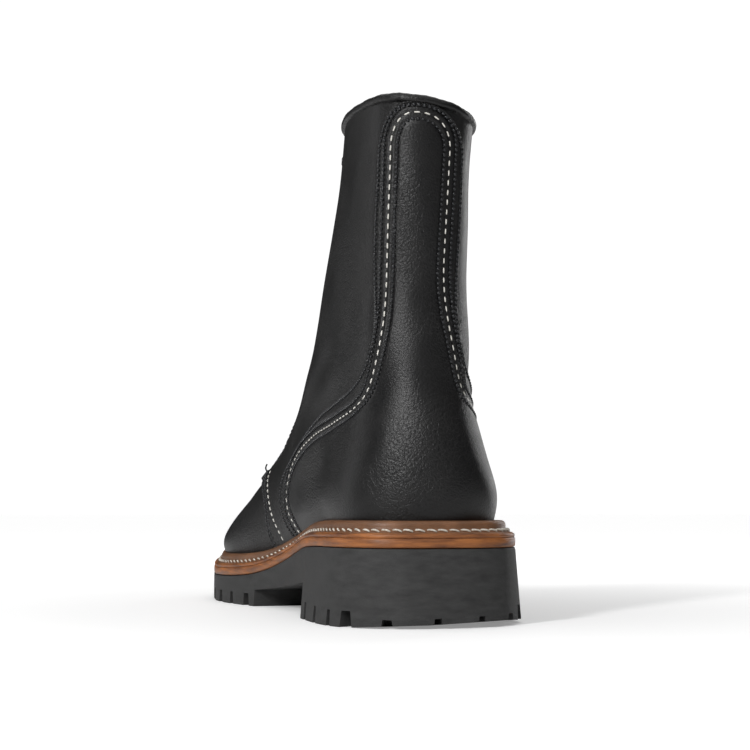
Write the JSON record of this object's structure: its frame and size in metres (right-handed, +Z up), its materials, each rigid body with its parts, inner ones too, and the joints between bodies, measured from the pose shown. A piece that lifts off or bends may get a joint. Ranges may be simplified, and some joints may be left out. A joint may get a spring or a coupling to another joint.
{
  "type": "fire boot",
  "caption": "Black leather lace-up fire boot with a stitched backstay, a tan storm welt all round and a lugged rubber sole.",
  "frame": {"origin": "on the ground under the middle of the boot's overall footprint", "axes": "-Y towards the toe, +Y towards the heel, +Z up, +X towards the boot's medial (inner) side"},
  "size_m": [0.1132, 0.31, 0.2414],
  "materials": {
    "outsole_rubber": "matte moulded",
    "veg_tan_leather": "burnished edge",
    "white_thread": "waxed twist",
    "cork": "granulated",
    "steel": "plain",
    "fibre_board": "skived board",
    "lining_leather": "natural, smooth",
    "black_leather": "slightly pebbled, low sheen",
    "black_thread": "waxed twist",
    "black_brass": "black oxide"
  },
  "bodies": {
    "boot": {"bar_tack_lateral": "black_thread", "bar_tack_medial": "black_thread", "collar_binding": "black_leather", "cork_filler": "cork", "counter_cover": "black_leather", "eyelet_lateral_1": "black_brass", "eyelet_lateral_2": "black_brass", "eyelet_lateral_3": "black_brass", "eyelet_lateral_4": "black_brass", "eyelet_lateral_5": "black_brass", "eyelet_medial_1": "black_brass", "eyelet_medial_2": "black_brass", "eyelet_medial_3": "black_brass", "eyelet_medial_4": "black_brass", "eyelet_medial_5": "black_brass", "heel_counter": "fibre_board", "hook_lateral_1": "black_brass", "hook_lateral_2": "black_brass", "hook_lateral_3": "black_brass", "hook_lateral_4": "black_brass", "hook_medial_1": "black_brass", "hook_medial_2": "black_brass", "hook_medial_3": "black_brass", "hook_medial_4": "black_brass", "insole": "fibre_board", "midsole": "veg_tan_leather", "outsole": "outsole_rubber", "quarter_lateral": "black_leather", "quarter_lining": "lining_leather", "quarter_medial": "black_leather", "shank": "steel", "sock_liner": "lining_leather", "toe_puff": "fibre_board", "vamp": "black_leather", "vamp_lining": "lining_leather", "welt": "veg_tan_leather", "welt_stitching": "white_thread"},
    "tongue": {"tongue": "black_leather"}
  },
  "joints": [
    {"name": "tongue_fold", "type": "hinge", "parent": "boot", "child": "tongue", "pos_m": [-0.00341, -0.0588, 0.08454], "axis": [-1, 0, 0], "range_deg": [0, 15]}
  ]
}
